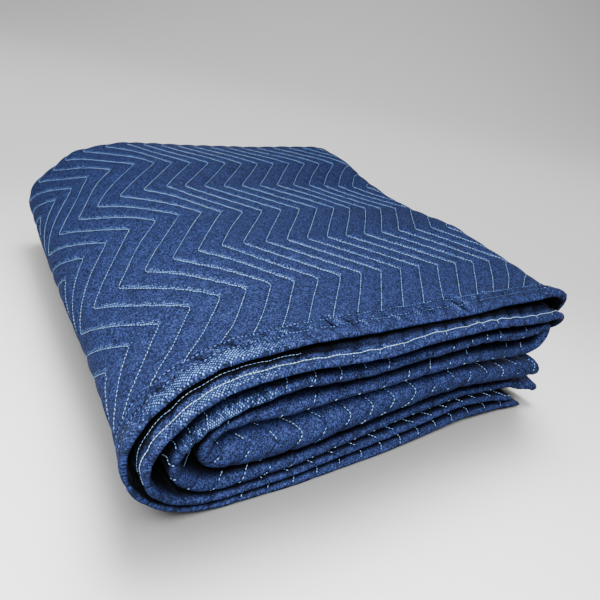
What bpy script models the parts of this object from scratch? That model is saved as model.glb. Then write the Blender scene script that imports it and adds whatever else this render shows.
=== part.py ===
"""A quilted moving blanket, folded in quarters along its length and again across its width.

The cloth is one sheet.  Its length is folded twice, which makes a strip of four plies: hem ply A
outside, hem ply B under it, and plies C and D joined by a fold at the front.  The strip is then
folded twice across, from its free end on the ground, round the wide left bend, along the top,
down the right turn, back along the second layer, round the inner tuck and out along the third.
X runs along the front edge, Y from front to back, Z up; the stack stands on Z = 0.
"""

import math

import bmesh
import bpy
import numpy as np

# Driving dimensions, metres.
STACK_HEIGHT = 0.150        # sixteen plies, lying flat
CLOTH_THICK = 0.005         # two skins and batting, quilted
PLIES = 16
PLY_PITCH = (STACK_HEIGHT - CLOTH_THICK) / (PLIES - 1)
FRONT_Y = -0.2552           # nominal plane of the front edges
CREASE_Y = 0.2368           # centre line of the creases at the back
EDGE_REACH = 0.050          # how far back from the front an edge's own level is felt
HEM_SLIP_REACH = 0.220      # how far back from the front the plies slip at a free end

# Left bend, right turn and inner tuck: where the straight layers stop.
BEND_X = -0.1582            # layers one and four meet the left bend here
BEND_REACH = 0.074          # the bend's middle line goes this much further left
BEND_APEX_Z = 0.075         # height of its furthest point
TURN_X = 0.1958             # layers one and two meet the right turn here
TUCK_X = -0.1662            # layers two and three meet the inner tuck here
GROUND_END_X = 0.2088       # free end of layer four
THIRD_END_X = 0.2138        # free end of layer three


def layer_level(layer):
    """Height of a layer's middle line; layer one is the top one."""
    return CLOTH_THICK / 2 + PLY_PITCH * (1.5 + 4 * (4 - layer))


# The front edges at places along the strip, in millimetres.  "along" runs from 0 to 1 over the
# segment.  a, b, c, d: level of each ply at its front edge, measured out from the strip's middle
# line.  a_out, b_out, fold_out: how far that edge stands in front of the nominal plane.
# back: how far the creases stand behind theirs.
EDGE_COLUMNS = ("segment", "along", "a", "b", "c", "d", "a_out", "b_out", "fold_out", "back")
EDGE_ROWS = (
    ("ground", 0.00, 13.0, 5.0, 0.0, -6.0, -5, -9, -8, -5),
    ("ground", 0.10, 11.0, 0.0, -9.0, -15.0, -8, -13, -17, -4),
    ("ground", 0.24, 10.0, -1.5, -8.0, -14.5, -9, -16, -23, -2),
    ("ground", 0.45, 12.5, 3.5, -6.5, -13.0, -4, -11, -19, -1),
    ("ground", 0.55, 13.5, 5.5, -1.5, -8.5, -2, -10, -18, 0),
    ("ground", 0.83, 14.5, 7.0, 1.5, -7.0, 0, -4, -9, 1),
    ("bend", 0.10, 13.0, 4.5, -2.5, -11.0, -2, -2, -6, 2),
    ("bend", 0.30, 11.0, -0.5, -13.5, -20.0, -2, 4, -2, 5),
    ("bend", 0.50, 10.8, -3.0, -23.5, -30.0, -3, 9, 1, 10),
    ("bend", 0.70, 9.0, -6.5, -28.0, -34.5, -4, 9, 1, 16),
    ("bend", 0.91, 12.0, -2.0, -26.5, -33.0, -5, 8, 0, 8),
    ("top", 0.0375, 14.0, 1.5, -20.0, -26.0, -4, 8, 0, 2),
    ("top", 0.131, 17.0, 4.0, -13.5, -19.5, -4, 9, 0, 1),
    ("top", 0.230, 16.0, 4.0, -17.0, -23.0, -5, 12, 0, 1),
    ("top", 0.347, 14.5, 4.5, -19.0, -25.0, -6, 14, 0, 0),
    ("top", 0.450, 14.0, 6.0, -14.0, -20.0, -7, 11, 0, 1),
    ("top", 0.660, 13.0, 6.0, -12.0, -18.0, -8, 8, -1, 2),
    ("top", 0.800, 16.5, 6.0, -8.5, -14.5, -9, 8, -1, 3),
    ("top", 0.921, 16.5, 4.0, -10.5, -16.5, -9, 8, -1, 3),
    ("turn", 0.10, 18.5, 3.5, -8.0, -15.0, -7, 8, -1, 3),
    ("turn", 0.27, 33.0, 13.0, -2.0, -9.0, -6, 6, -2, 2),
    ("turn", 0.40, 27.0, 17.0, 4.0, -3.5, -14, 2, -2, 1),
    ("turn", 0.52, 22.5, 14.0, 6.0, -1.5, -28, -10, -3, 0),
    ("turn", 0.65, 19.5, 11.5, 5.0, -2.5, -42, -32, -3, -3),
    ("turn", 0.85, 16.0, 7.0, 3.0, -4.5, -56, -52, -3, -5),
    ("second", 0.064, 14.5, 5.0, 1.0, -6.0, -62, -60, -3, -8),
    ("second", 0.140, 14.5, 5.0, -1.5, -8.5, -64, -64, -3, -9),
    ("second", 0.305, 14.5, 4.8, 2.5, -4.5, -64, -64, -4, -10),
    ("second", 0.606, 14.5, 4.8, 7.0, 0.0, -64, -64, -4, -9),
    ("second", 0.730, 14.5, 4.8, 8.0, 1.0, -64, -64, -4, -10),
    ("second", 0.860, 14.5, 4.8, 12.5, 2.0, -64, -64, -4, -11),
    ("second", 0.944, 14.5, 4.8, 10.0, 1.0, -64, -64, -5, -10),
    ("tuck", 0.10, 14.5, 4.8, 12.5, 6.5, -64, -64, -6, -8),
    ("tuck", 0.50, 14.5, 4.8, 11.0, 3.5, -64, -64, -7, -6),
    ("tuck", 0.75, 14.5, 4.8, 3.5, -10.0, -64, -64, -8, -5),
    ("third", 0.02, 14.5, 4.8, 1.0, -20.5, -64, -64, -8, -4),
    ("third", 0.10, 14.5, 4.8, 2.0, -24.0, -64, -64, -8, -3),
    ("third", 0.20, 14.5, 4.8, 0.0, -22.5, -64, -64, -8, -3),
    ("third", 0.30, 14.5, 4.8, 7.0, -20.5, -64, -64, -9, -2),
    ("third", 0.41, 14.5, 4.8, 11.0, -17.0, -64, -64, -10, -1),
    ("third", 0.55, 14.5, 4.8, 15.0, -9.0, -64, -64, -10, -2),
    ("third", 0.70, 14.5, 4.8, 20.0, -5.0, -64, -64, -9, -3),
    ("third", 0.92, 14.5, 4.8, 9.0, -8.5, -64, -64, -6, 1),
    ("third", 1.00, 14.5, 4.8, 7.0, -10.0, -64, -64, -5, 0),
)

# How far each ply has slipped along X at the front of the free ends, in millimetres.
SLIP = {"ground": {"a": 4, "b": -11, "fold": 29}, "third": {"a": 0, "b": 0, "fold": 4}}
SLIP_RUN = 0.110            # the slip dies out over this length of the strip

# How the folded stack has settled, in millimetres, at depths behind FRONT_Y.  left_in: how far the
# left bend is drawn in.  left_down: how far the top has slumped towards it.  left_slid: how far
# the cloth there has slid outwards.  middle_up, right_up: how far the top has risen in the middle
# and along its right side.  right_out: how far the right turn stands out.
SETTLED_COLUMNS = (
    "depth", "left_in", "left_down", "left_slid", "middle_up", "right_up", "right_out",
)
SETTLED_ROWS = (
    (0, 0, 0, 0, 0, 0, -22),
    (12, 3, 2, 1, 0, 0, -21),
    (55, 13, 18, 3, 0, -3, 5),
    (110, 15, 26, 5, 0, -4, 12),
    (180, 16, 30, 6, 1, 3, 3),
    (250, 16, 31, 8, -1, -4, 1),
    (310, 17, 33, 10, -1, -6, 0),
    (370, 18, 35, 13, 0, -1, -2),
    (430, 20, 36, 17, 2, 2, 8),
    (500, 23, 34, 21, -1, 3, 12),
)
SETTLED_STEP = 0.002        # the table is eased between its rows over this many steps
SETTLED_STEPS = 13
# Where each part starts across, in metres, and over what length it grows.
SIDES = {
    "left": (-0.066, -0.140),
    "slump": (-0.099, -0.140),
    "middle": (-0.164, 0.160),
    "right": (0.054, 0.140),
    "corner": (0.074, 0.080),
}
UPPER = (0.045, 0.060)      # and by height, for the right turn
SLIDE = (-0.167, 0.070)    # where the cloth slides most, and how far either side
# The front right corner droops: how far, at what height, over what reach, and how far back.
CORNER = {"droop": 0.007, "height": 0.105, "reach": 0.055, "depth": 0.085, "run": 0.060}

# The length of the cloth, from hem B to hem A: ply B, inner crease, C, front fold, D, outer crease, A.
PLY_LENGTH = CREASE_Y - FRONT_Y
FOLD_LENGTH = 0.016
V_B = PLY_LENGTH
V_C = V_B + math.pi * PLY_PITCH / 2
V_D = V_C + 2 * PLY_LENGTH + FOLD_LENGTH
V_A = V_D + math.pi * PLY_PITCH * 1.5
V_END = V_A + PLY_LENGTH

# The edge table is eased between its rows over this many steps.
EASE_STEP = 0.004
EASE_STEPS = 5
SLOPE_STEP = 0.002          # the strip's direction is taken over this much either side

COLOUR = (0.034, 0.071, 0.205, 1.0)


def blend(t):
    """Eases from 0 to 1."""
    t = min(max(t, 0.0), 1.0)
    return t * t * (3.0 - 2.0 * t)


def hump(t):
    """1 at t = 0, easing to 0 at t = -1 and t = 1."""
    return blend(1.0 - abs(t))


def mix(a, b, t):
    return a + (b - a) * t


def arc(centre, reach, rise, first, last, steps=40):
    """Points along an ellipse between two angles in degrees."""
    angles = np.radians(np.linspace(first, last, steps + 1))
    return [(centre[0] + reach * math.cos(t), centre[1] + rise * math.sin(t)) for t in angles]


def strip_segments():
    """Middle line of the strip as named segments of (x, z) points, in the order it was folded."""
    one, two, three, four = (layer_level(k) for k in (1, 2, 3, 4))
    bend_at = (BEND_X, BEND_APEX_Z)
    turn_r, tuck_r = (one - two) / 2, (two - three) / 2
    bend = arc(bend_at, BEND_REACH, BEND_APEX_Z - four, 270, 180)
    bend += arc(bend_at, BEND_REACH, one - BEND_APEX_Z, 180, 90)[1:]
    return {
        "ground": [(GROUND_END_X, four), (BEND_X, four)],
        "bend": bend,
        "top": [(BEND_X, one), (TURN_X, one)],
        "turn": arc((TURN_X, two + turn_r), turn_r, turn_r, 90, -90),
        "second": [(TURN_X, two), (TUCK_X, two)],
        "tuck": arc((TUCK_X, three + tuck_r), tuck_r, tuck_r, 90, 270),
        "third": [(TUCK_X, three), (THIRD_END_X, three)],
    }


class Strip:
    """The strip's middle line by arc length, and its front edges by arc length."""

    def __init__(self):
        self.start, self.length, points = {}, {}, []
        for name, segment in strip_segments().items():
            at = self._run(points)
            points += segment[1:] if points else segment
            self.start[name], self.length[name] = at, self._run(points) - at
        self.points = np.array(points)
        steps = np.hypot(*np.diff(self.points, axis=0).T)
        self.at = np.concatenate([[0.0], np.cumsum(steps)])
        self.total = self.at[-1]
        self.rows = {name: self._column(k) for k, name in enumerate(EDGE_COLUMNS) if k > 1}

    @staticmethod
    def _run(points):
        return sum(math.dist(a, b) for a, b in zip(points, points[1:]))

    def place(self, segment, along):
        """Arc length of a place named by its segment."""
        return self.start[segment] + along * self.length[segment]

    def _column(self, k):
        """One column of the edge table, eased between its rows."""
        places = [self.place(row[0], row[1]) for row in EDGE_ROWS]
        fine = np.interp(self._grid(), places, [row[k] / 1000 for row in EDGE_ROWS])
        window = np.hanning(EASE_STEPS + 2)[1:-1]
        padded = np.pad(fine, EASE_STEPS // 2, mode="edge")
        return np.convolve(padded, window / window.sum(), mode="valid")

    def _grid(self):
        return np.arange(0.0, self.total + EASE_STEP, EASE_STEP)

    def edge(self, s):
        """The edge table's values at s."""
        return {name: float(np.interp(s, self._grid(), row)) for name, row in self.rows.items()}

    def middle(self, s):
        """Point on the middle line, and the direction out of the strip there."""
        x, z = (float(np.interp(s, self.at, self.points[:, k])) for k in (0, 1))
        before, after = max(s - SLOPE_STEP, 0.0), min(s + SLOPE_STEP, self.total)
        dx, dz = (
            float(np.interp(after, self.at, self.points[:, k]))
            - float(np.interp(before, self.at, self.points[:, k]))
            for k in (0, 1)
        )
        size = math.hypot(dx, dz)
        return x, z, -dz / size, dx / size


def section(v, edge):
    """Ply, depth Y and level in the strip at v, measured along the folded length from hem B."""
    crease_y = CREASE_Y + edge["back"]
    in_r, out_r = PLY_PITCH / 2, PLY_PITCH * 1.5

    def near_front(y, front):
        return 1.0 - blend((y - front) / EDGE_REACH)

    def hem_ply(t, front, level, edge_level):
        y = mix(front, crease_y, t)
        return y, mix(level, edge_level, near_front(y, front))

    if v <= V_B:
        y, n = hem_ply(v / V_B, FRONT_Y - edge["b_out"], in_r, edge["b"])
        return "b", y, n
    if v >= V_A:
        y, n = hem_ply((V_END - v) / PLY_LENGTH, FRONT_Y - edge["a_out"], out_r, edge["a"])
        return "a", y, n
    if v < V_C:
        t = (v - V_B) / (V_C - V_B) * math.pi
        return "b", crease_y + in_r * math.sin(t), in_r * math.cos(t)
    if v > V_D:
        t = (v - V_D) / (V_A - V_D) * math.pi
        return "a", crease_y + out_r * math.sin(t), -out_r * math.cos(t)

    # Plies C and D, with the fold that joins them at the front.
    half, middle = (edge["c"] - edge["d"]) / 2, (edge["c"] + edge["d"]) / 2
    front = FRONT_Y - edge["fold_out"]
    q = v - (V_C + V_D) / 2
    quarter_turn = half * math.pi / 2
    if abs(q) < quarter_turn:
        return "fold", front + half * (1 - math.cos(q / half)), middle - half * math.sin(q / half)
    t = (abs(q) - quarter_turn) / ((V_D - V_C) / 2 - quarter_turn)
    y = mix(front + half, crease_y, t)
    level = -in_r if q < 0 else -out_r
    edge_level = edge["c"] if q < 0 else edge["d"]
    return "fold", y, mix(level, edge_level, near_front(y, front + half))


def settled_table():
    """The settled table by depth, eased between its rows."""
    fine = np.arange(-0.020, SETTLED_ROWS[-1][0] / 1000 + 0.020, SETTLED_STEP)
    window = np.hanning(SETTLED_STEPS + 2)[1:-1]
    depths = [row[0] / 1000 for row in SETTLED_ROWS]
    table = {}
    for k, name in enumerate(SETTLED_COLUMNS[1:], 1):
        values = np.interp(fine, depths, [row[k] / 1000 for row in SETTLED_ROWS])
        padded = np.pad(values, SETTLED_STEPS // 2, mode="edge")
        table[name] = np.convolve(padded, window / window.sum(), mode="valid")
    return fine, table


SETTLED_AT, SETTLED = settled_table()


def settle(x, y, z):
    """The folded stack's own unevenness: it is moved as a whole, so no ply crosses another."""
    share, depth = z / STACK_HEIGHT, y - FRONT_Y
    moved = {name: float(np.interp(depth, SETTLED_AT, row)) for name, row in SETTLED.items()}
    part = {name: blend((x - start) / run) for name, (start, run) in SIDES.items()}
    upper = blend((z - UPPER[0]) / UPPER[1])
    raised = moved["right_up"] * part["right"] + moved["middle_up"] * part["middle"]
    slumped = moved["left_down"] * part["slump"]
    lowered = CORNER["droop"] * hump((z - CORNER["height"]) / CORNER["reach"])
    lowered *= part["corner"] * blend((CORNER["depth"] - depth) / CORNER["run"])
    slid = moved["left_slid"] * hump((x - SLIDE[0]) / SLIDE[1]) * share**2
    x += moved["left_in"] * part["left"] + moved["right_out"] * part["right"] * upper
    return x - slid, y, z + raised * share**2 - slumped * share**1.5 - lowered


def cloth_point(strip, s, v):
    """Middle of the cloth's thickness at flat coordinates s, across, and v, along the length."""
    edge = strip.edge(s)
    ply, y, n = section(v, edge)
    x, z, out_x, out_z = strip.middle(s)
    for segment, slips in SLIP.items():
        end = strip.place(segment, 0.0 if segment == "ground" else 1.0)
        near_end = 1.0 - blend(abs(s - end) / SLIP_RUN)
        near_front = 1.0 - blend((y - FRONT_Y) / HEM_SLIP_REACH)
        x += slips[ply] / 1000 * near_end * near_front
    return settle(x + n * out_x, y, z + n * out_z)


def spaced(stops):
    """Grid lines from rows of (place, intervals up to it)."""
    lines = [stops[0][0]]
    for place, count in stops[1:]:
        lines += list(np.linspace(lines[-1], place, count + 1)[1:])
    return lines


def grid_lines(strip):
    """Where the mesh is cut across and along: finer round the bends and near the front edges."""
    place = strip.place
    across = spaced((
        (0.0, 0), (place("ground", 0.30), 4), (place("ground", 0.92), 5), (place("bend", 0.0), 1),
        (place("top", 0.0), 9), (place("top", 0.92), 7), (place("turn", 0.0), 1),
        (place("second", 0.0), 7), (place("second", 0.10), 1), (place("second", 0.80), 5),
        (place("tuck", 0.0), 2), (place("third", 0.0), 7), (place("third", 0.20), 2),
        (strip.total, 6),
    ))
    near, edge_zone, fold_half = 0.022, 0.056, 0.012
    middle = (V_C + V_D) / 2
    along = spaced((
        (0.0, 0), (near, 2), (edge_zone, 2), (V_B, 2), (V_C, 4),
        (middle - edge_zone - fold_half, 2), (middle - near - fold_half, 2),
        (middle - fold_half, 1), (middle + fold_half, 8), (middle + near + fold_half, 1),
        (middle + edge_zone + fold_half, 2), (V_D, 2), (V_A, 7),
        (V_END - edge_zone, 2), (V_END - near, 2), (V_END, 2),
    ))
    return across, along


def quilted_blanket():
    """One sheet of cloth, laid out flat as a grid, folded, and given its thickness."""
    strip = Strip()
    across, along = grid_lines(strip)
    bm = bmesh.new()
    bmesh.ops.create_grid(
        bm, x_segments=len(across) - 1, y_segments=len(along) - 1, size=0.5
    )
    for vert in bm.verts:
        column = round((vert.co.x + 0.5) * (len(across) - 1))
        row = round((vert.co.y + 0.5) * (len(along) - 1))
        vert.co = cloth_point(strip, across[column], along[row])
    bmesh.ops.reverse_faces(bm, faces=bm.faces)
    mesh = bpy.data.meshes.new("quilted_blanket")
    bm.to_mesh(mesh)
    bm.free()
    mesh.shade_smooth()
    blanket = bpy.data.objects.new("quilted_blanket", mesh)
    bpy.context.scene.collection.objects.link(blanket)
    thicken = blanket.modifiers.new("cloth thickness", "SOLIDIFY")
    thicken.thickness = CLOTH_THICK
    thicken.offset = 0.0
    return blanket


def quilted_cotton():
    """Woven cotton and polyester skins, dull and dark blue."""
    material = bpy.data.materials.new("quilted cotton")
    material.use_nodes = True
    shader = material.node_tree.nodes["Principled BSDF"]
    shader.inputs["Base Color"].default_value = COLOUR
    shader.inputs["Roughness"].default_value = 0.85
    shader.inputs["Metallic"].default_value = 0.0
    return material


def main():
    for obj in list(bpy.data.objects):
        bpy.data.objects.remove(obj, do_unlink=True)
    quilted_blanket().data.materials.append(quilted_cotton())


main()
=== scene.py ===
import math
from functools import partial

import bmesh
import bpy
import numpy as np
from mathutils import Matrix, Vector, noise
from mathutils.bvhtree import BVHTree


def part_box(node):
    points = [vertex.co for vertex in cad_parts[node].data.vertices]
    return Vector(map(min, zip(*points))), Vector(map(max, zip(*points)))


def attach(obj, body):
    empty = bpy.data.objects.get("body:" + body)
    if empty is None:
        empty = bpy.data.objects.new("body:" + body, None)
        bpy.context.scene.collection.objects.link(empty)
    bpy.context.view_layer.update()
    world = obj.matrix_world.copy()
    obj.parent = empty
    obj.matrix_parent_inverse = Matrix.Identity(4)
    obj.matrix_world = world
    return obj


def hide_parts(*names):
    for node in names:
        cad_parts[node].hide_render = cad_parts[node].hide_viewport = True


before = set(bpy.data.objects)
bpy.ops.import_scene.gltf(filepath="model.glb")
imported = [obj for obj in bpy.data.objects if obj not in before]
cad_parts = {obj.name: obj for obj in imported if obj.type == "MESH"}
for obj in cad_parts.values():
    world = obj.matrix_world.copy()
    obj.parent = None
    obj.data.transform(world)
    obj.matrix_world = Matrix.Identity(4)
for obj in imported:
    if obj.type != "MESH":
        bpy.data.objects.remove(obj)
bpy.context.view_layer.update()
low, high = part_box("quilted_blanket")


def report(stage):
    print("moving blanket:", stage)


def ease(t):
    t = np.clip(t, 0.0, 1.0)
    return t * t * (3.0 - 2.0 * t)


def hump(t):
    return ease(1.0 - np.abs(t))


def mix(a, b, t):
    return a + (b - a) * t


def grain(points, size, seed=0.0):
    # smooth noise from about -1 to 1, one lump in each "size" metres
    spots = np.column_stack(points) / size + seed
    return np.array([noise.noise(spot) for spot in spots])


# how the blanket is folded, in metres; the same folds as its solid
fold = {
    "stackHeight": 0.150,  # sixteen plies lying flat
    "clothThick": 0.005,
    "plies": 16,
    "frontY": low.y + 0.0126,  # nominal plane of the front edges
    "creaseY": high.y - 0.0315,  # centre line of the creases at the back
    "bendX": low.x + 0.0845,  # the straight layers stop here at the left bend
    "bendReach": 0.074,
    "bendApexZ": 0.075,
    "turnX": high.x - 0.0470,  # and here at the right turn
    "tuckX": low.x + 0.0765,  # and here at the inner tuck
    "groundEndX": high.x - 0.0340,
    "thirdEndX": high.x - 0.0290,
    "edgeReach": 0.050,  # how far back an edge's own level is felt
    "hemSlipReach": 0.220,
    "slipRun": 0.110,
    "frontFold": 0.016,  # cloth taken up by the fold at the front
    "easeStep": 0.004,
    "easeSteps": 5,
}
plyPitch = (fold["stackHeight"] - fold["clothThick"]) / (fold["plies"] - 1)

# The front edges at places along the strip, in millimetres. a, b, c, d: each ply's level, out from
# the strip's middle line. aOut, bOut, foldOut: how far it stands in front of the nominal plane.
# back: how far the creases stand behind theirs.
edgeColumns = ("along", "c", "d", "foldOut", "back", "a", "b", "aOut", "bOut")
hiddenHems = (14.5, 4.8, -64, -64)  # the last four, where a row leaves them out
edgeRows = {
    "ground": (
        (0, 0, -6, -8, -5, 13, 5, -5, -9),
        (0.1, -9, -15, -17, -4, 11, 0, -8, -13),
        (0.24, -8, -14.5, -23, -2, 10, -1.5, -9, -16),
        (0.45, -6.5, -13, -19, -1, 12.5, 3.5, -4, -11),
        (0.55, -1.5, -8.5, -18, 0, 13.5, 5.5, -2, -10),
        (0.83, 1.5, -7, -9, 1, 14.5, 7, 0, -4),
    ),
    "bend": (
        (0.1, -2.5, -11, -6, 2, 13, 4.5, -2, -2),
        (0.3, -13.5, -20, -2, 5, 11, -0.5, -2, 4),
        (0.5, -23.5, -30, 1, 10, 10.8, -3, -3, 9),
        (0.7, -28, -34.5, 1, 16, 9, -6.5, -4, 9),
        (0.91, -26.5, -33, 0, 8, 12, -2, -5, 8),
    ),
    "top": (
        (0.0375, -20, -26, 0, 2, 14, 1.5, -4, 8),
        (0.131, -13.5, -19.5, 0, 1, 17, 4, -4, 9),
        (0.23, -17, -23, 0, 1, 16, 4, -5, 12),
        (0.347, -19, -25, 0, 0, 14.5, 4.5, -6, 14),
        (0.45, -14, -20, 0, 1, 14, 6, -7, 11),
        (0.66, -12, -18, -1, 2, 13, 6, -8, 8),
        (0.8, -8.5, -14.5, -1, 3, 16.5, 6, -9, 8),
        (0.921, -10.5, -16.5, -1, 3, 16.5, 4, -9, 8),
    ),
    "turn": (
        (0.1, -8, -15, -1, 3, 18.5, 3.5, -7, 8),
        (0.27, -2, -9, -2, 2, 33, 13, -6, 6),
        (0.4, 4, -3.5, -2, 1, 27, 17, -14, 2),
        (0.52, 6, -1.5, -3, 0, 22.5, 14, -28, -10),
        (0.65, 5, -2.5, -3, -3, 19.5, 11.5, -42, -32),
        (0.85, 3, -4.5, -3, -5, 16, 7, -56, -52),
    ),
    "second": (
        (0.064, 1, -6, -3, -8, 14.5, 5, -62, -60),
        (0.14, -1.5, -8.5, -3, -9, 14.5, 5, -64, -64),
        (0.305, 2.5, -4.5, -4, -10),
        (0.606, 7, 0, -4, -9),
        (0.73, 8, 1, -4, -10),
        (0.86, 12.5, 2, -4, -11),
        (0.944, 10, 1, -5, -10),
    ),
    "tuck": (
        (0.1, 12.5, 6.5, -6, -8),
        (0.5, 11, 3.5, -7, -6),
        (0.75, 3.5, -10, -8, -5),
    ),
    "third": (
        (0.02, 1, -20.5, -8, -4),
        (0.1, 2, -24, -8, -3),
        (0.2, 0, -22.5, -8, -3),
        (0.3, 7, -20.5, -9, -2),
        (0.41, 11, -17, -10, -1),
        (0.55, 15, -9, -10, -2),
        (0.7, 20, -5, -9, -3),
        (0.92, 9, -8.5, -6, 1),
        (1, 7, -10, -5, 0),
    ),
}
# how far each ply has slipped along X at the front of the free ends, in millimetres
slip = {"ground": {"a": 4, "b": -11, "fold": 29}, "third": {"a": 0, "b": 0, "fold": 4}}

# How far the stack has settled, in millimetres, at depths behind the nominal front. leftIn: the
# left bend drawn in. leftDown: the top slumped towards it. leftSlid: the cloth there slid outwards.
# middleUp, rightUp: the top risen in the middle and at its right side. rightOut: the right turn.
settledColumns = ("depth", "leftIn", "leftDown", "leftSlid", "middleUp", "rightUp", "rightOut")
settledRows = (
    (0, 0, 0, 0, 0, 0, -22),
    (12, 3, 2, 1, 0, 0, -21),
    (55, 13, 18, 3, 0, -3, 5),
    (110, 15, 26, 5, 0, -4, 12),
    (180, 16, 30, 6, 1, 3, 3),
    (250, 16, 31, 8, -1, -4, 1),
    (310, 17, 33, 10, -1, -6, 0),
    (370, 18, 35, 13, 0, -1, -2),
    (430, 20, 36, 17, 2, 2, 8),
    (500, 23, 34, 21, -1, 3, 12),
)
corner = {"droop": 0.007, "height": 0.105, "reach": 0.055, "depth": 0.085, "run": 0.060}
sides = {
    # where each part starts across, and over what length it grows
    "left": (-0.066, -0.140),
    "slump": (-0.099, -0.140),
    "middle": (-0.164, 0.160),
    "right": (0.054, 0.140),
    "corner": (0.074, 0.080),
    "upper": (0.045, 0.060),  # this one by height
}
slide = (-0.167, 0.070)  # where the cloth slides most, and how far either side
settling = {"margin": 0.020, "step": 0.002, "window": 13}  # how the table is smoothed

# flat length from hem B to hem A: ply B, inner crease, C, front fold, D, outer crease, A
plyLength = fold["creaseY"] - fold["frontY"]
innerRadius, outerRadius = plyPitch / 2, plyPitch * 1.5
vB = plyLength
vC = vB + math.pi * innerRadius
vD = vC + 2 * plyLength + fold["frontFold"]
vA = vD + math.pi * outerRadius
vEnd = vA + plyLength
vFold = (vC + vD) / 2


def layerLevel(layer):
    return fold["clothThick"] / 2 + plyPitch * (1.5 + 4 * (4 - layer))


def arc(centre, reach, rise, first, last, steps=60):
    angles = np.radians(np.linspace(first, last, steps + 1))
    return [(centre[0] + reach * math.cos(t), centre[1] + rise * math.sin(t)) for t in angles]


def smoothed(values, count):
    # each value eased with its neighbours, "count" of them in all
    window = np.hanning(count + 2)[1:-1]
    padded = np.pad(values, count // 2, mode="edge")
    return np.convolve(padded, window / window.sum(), mode="valid")


class Strip:
    # the four-ply strip's middle line, in X and Z, and its front edges, by length along it

    def __init__(self):
        one, two, three, four = (layerLevel(k) for k in (1, 2, 3, 4))
        bendAt = (fold["bendX"], fold["bendApexZ"])
        turnR, tuckR = (one - two) / 2, (two - three) / 2
        bend = arc(bendAt, fold["bendReach"], bendAt[1] - four, 270, 180)
        bend += arc(bendAt, fold["bendReach"], one - bendAt[1], 180, 90)[1:]
        segments = {
            "ground": [(fold["groundEndX"], four), (fold["bendX"], four)],
            "bend": bend,
            "top": [(fold["bendX"], one), (fold["turnX"], one)],
            "turn": arc((fold["turnX"], two + turnR), turnR, turnR, 90, -90),
            "second": [(fold["turnX"], two), (fold["tuckX"], two)],
            "tuck": arc((fold["tuckX"], three + tuckR), tuckR, tuckR, 90, 270),
            "third": [(fold["tuckX"], three), (fold["thirdEndX"], three)],
        }
        self.start, self.length, points = {}, {}, []
        for name, segment in segments.items():
            before = self.run(points)
            points += segment[1:] if points else segment
            self.start[name], self.length[name] = before, self.run(points) - before
        self.line = np.array(points)
        steps = np.hypot(*np.diff(self.line, axis=0).T)
        self.at = np.concatenate([[0.0], np.cumsum(steps)])
        self.total = self.at[-1]
        self.grid = np.arange(0.0, self.total + fold["easeStep"], fold["easeStep"])
        table = [(self.place(segment, row[0]), *row[1:], *hiddenHems)[:len(edgeColumns)]
                 for segment, rows in edgeRows.items() for row in rows]
        places = [row[0] for row in table]
        self.columns = {}
        for k, name in enumerate(edgeColumns[1:], 1):
            fine = np.interp(self.grid, places, [row[k] / 1000 for row in table])
            self.columns[name] = smoothed(fine, fold["easeSteps"])

    @staticmethod
    def run(points):
        return sum(math.dist(a, b) for a, b in zip(points, points[1:]))

    def place(self, segment, along):
        return self.start[segment] + along * self.length[segment]

    def edge(self, name, s):
        return np.interp(s, self.grid, self.columns[name])

    def middle(self, s):
        def at(place):
            return [np.interp(place, self.at, self.line[:, k]) for k in (0, 1)]

        inside = np.clip(s, 0.0, self.total)
        past, step = s - inside, 0.002
        x, z = at(inside)
        x0, z0 = at(np.maximum(inside - step, 0.0))
        x1, z1 = at(np.minimum(inside + step, self.total))
        size = np.hypot(x1 - x0, z1 - z0)
        dx, dz = (x1 - x0) / size, (z1 - z0) / size
        return x + past * dx, z + past * dz, -dz, dx


strip = Strip()
report(f"the cloth is {strip.total:.3f} by {vEnd:.3f} m flat")


def section(s, v):
    # depth Y, level in the strip and ply (0 b, 1 fold, 2 a) of the flat place (s, v)
    crease = fold["creaseY"] + strip.edge("back", s)

    def nearFront(y, front):
        return 1.0 - ease((y - front) / fold["edgeReach"])

    def hemPly(t, out, level, edgeLevel):
        front = fold["frontY"] - out
        y = mix(front, crease, t)
        return y, mix(level, edgeLevel, nearFront(y, front))

    yB, nB = hemPly(v / vB, strip.edge("bOut", s), innerRadius, strip.edge("b", s))
    yA, nA = hemPly((vEnd - v) / plyLength, strip.edge("aOut", s), outerRadius, strip.edge("a", s))
    t = (v - vB) / (vC - vB) * math.pi
    yBC, nBC = crease + innerRadius * np.sin(t), innerRadius * np.cos(t)
    t = (v - vD) / (vA - vD) * math.pi
    yDA, nDA = crease + outerRadius * np.sin(t), -outerRadius * np.cos(t)

    # plies C and D, and the fold that joins them at the front
    c, d = strip.edge("c", s), strip.edge("d", s)
    half, middle = (c - d) / 2, (c + d) / 2
    front = fold["frontY"] - strip.edge("foldOut", s)
    q = v - vFold
    quarterTurn = half * math.pi / 2
    turned = np.abs(q) < quarterTurn
    angle = np.clip(q / half, -math.pi / 2, math.pi / 2)
    t = (np.abs(q) - quarterTurn) / ((vD - vC) / 2 - quarterTurn)
    y = mix(front + half, crease, t)
    flatLevel = np.where(q < 0, -innerRadius, -outerRadius)
    edgeLevel = np.where(q < 0, c, d)
    yF = np.where(turned, front + half * (1 - np.cos(angle)), y)
    nF = np.where(
        turned, middle - half * np.sin(angle), mix(flatLevel, edgeLevel, nearFront(y, front + half))
    )
    which = [v <= vB, v < vC, v <= vD, v < vA]
    y = np.select(which, [yB, yBC, yF, yDA], yA)
    n = np.select(which, [nB, nBC, nF, nDA], nA)
    ply = np.select([v < vC, v <= vD], [0, 1], 2)
    return y, n, ply


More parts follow.
